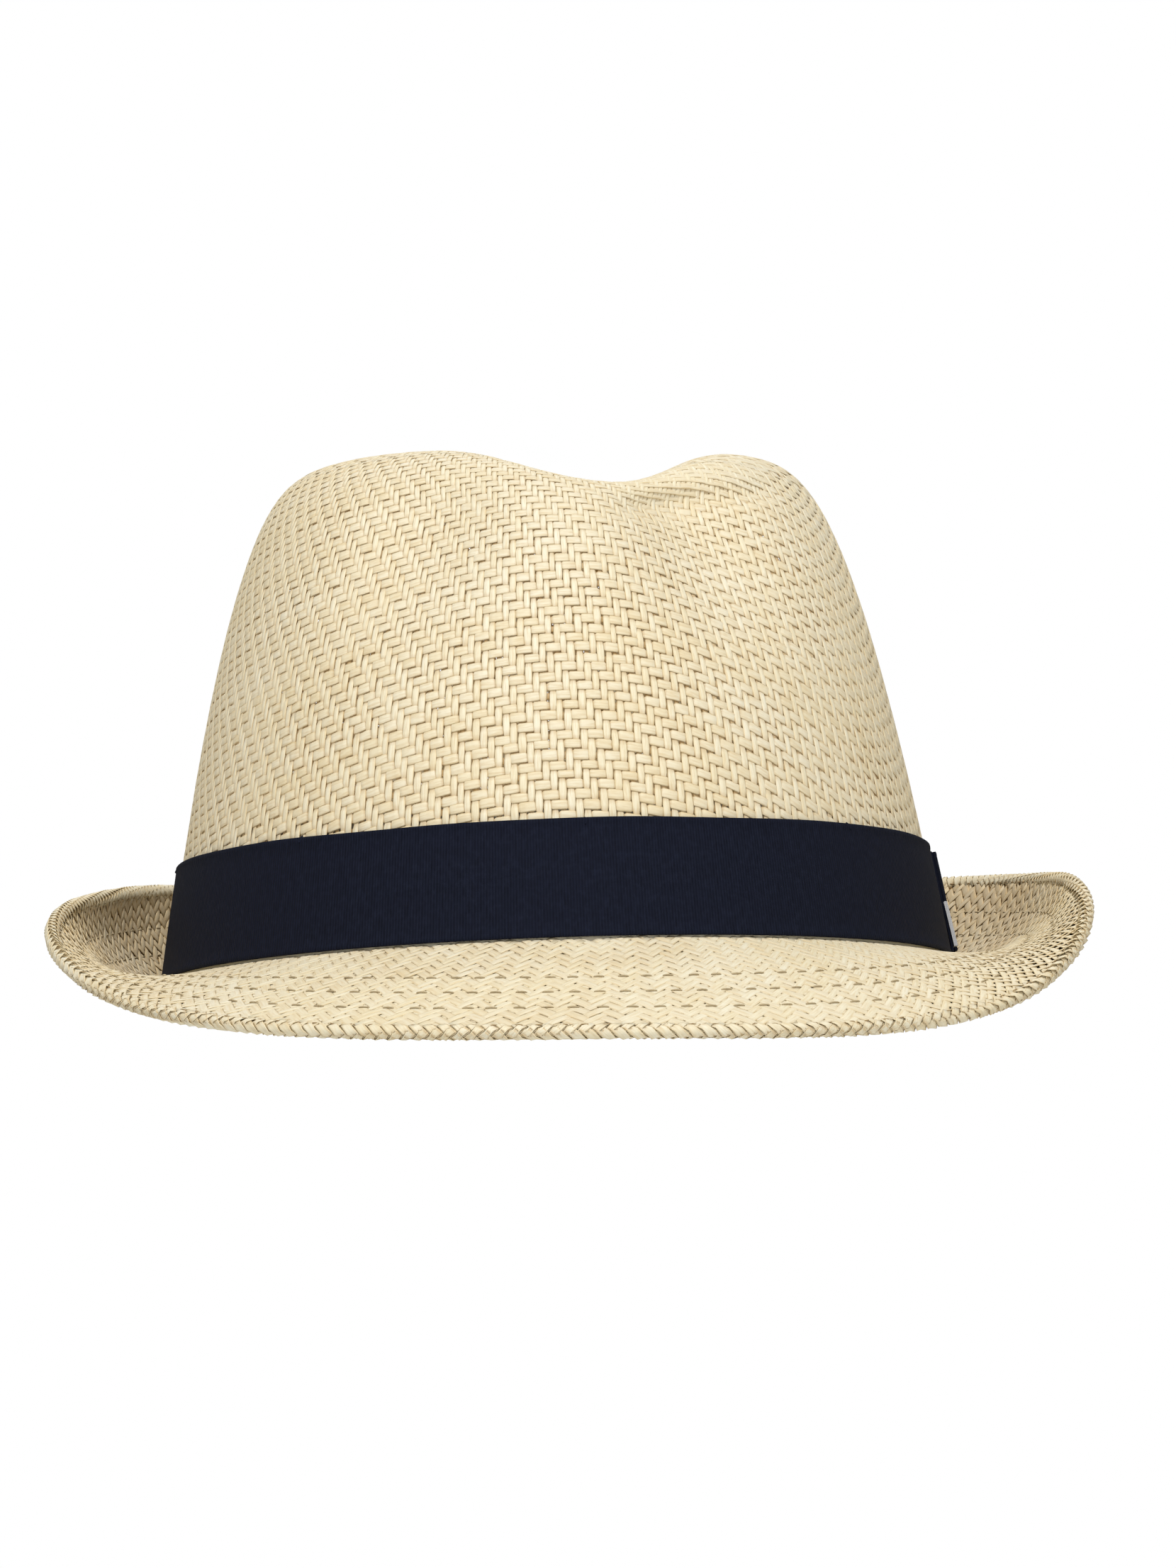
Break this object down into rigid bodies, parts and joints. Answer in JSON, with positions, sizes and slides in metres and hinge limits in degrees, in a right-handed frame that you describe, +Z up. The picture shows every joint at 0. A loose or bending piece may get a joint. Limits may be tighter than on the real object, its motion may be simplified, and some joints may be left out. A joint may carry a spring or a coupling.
{
  "type": "fedora hat",
  "caption": "Woven straw fedora with a dented, pinched crown, a short curled brim, a flat ribbon band and a sweatband inside.",
  "frame": {"origin": "centre of the head opening, in the plane where crown meets brim", "axes": "+Z up through the crown, the front of the hat faces -Y, the wearer's left is +X"},
  "size_m": [0.2168, 0.2731, 0.1315],
  "materials": {
    "straw": "paper straw strands in a two-over-two twill, soft sheen",
    "interlining": "stiffened buckram",
    "wire": "drawn millinery wire",
    "joiner": "crimped sleeve",
    "thread": "straw-coloured sewing thread",
    "sweatband": "cotton twill",
    "tape": "cotton tape",
    "label": "blank satin label",
    "ribbon": "ribbed grosgrain, dull sheen",
    "tag": "blank woven tag"
  },
  "bodies": {
    "hat": {"crown_shell": "straw", "brim_upper": "straw", "brim_interlining": "interlining", "brim_under": "straw", "edge_wire": "wire", "wire_joiner": "joiner", "edge_braid": "straw", "edge_stitch": "thread", "stitch_row_outer": "thread", "stitch_row_middle": "thread", "stitch_row_inner": "thread", "joint_stitch": "thread", "sweatband": "sweatband", "sweatband_piping": "sweatband", "sweatband_join_tape": "tape", "label_stitch": "thread", "ribbon_band": "ribbon", "bow_tail": "ribbon", "bow_loop": "ribbon", "bow_keeper": "ribbon", "ribbon_tacks": "ribbon", "side_tag": "tag"},
    "label_flap": {"care_label": "label"}
  },
  "joints": [
    {"name": "care_label_flip", "type": "hinge", "parent": "hat", "child": "label_flap", "pos_m": [0, 0.09156, 0.0285], "axis": [1, 0, 0], "range_deg": [-150, 0]}
  ]
}
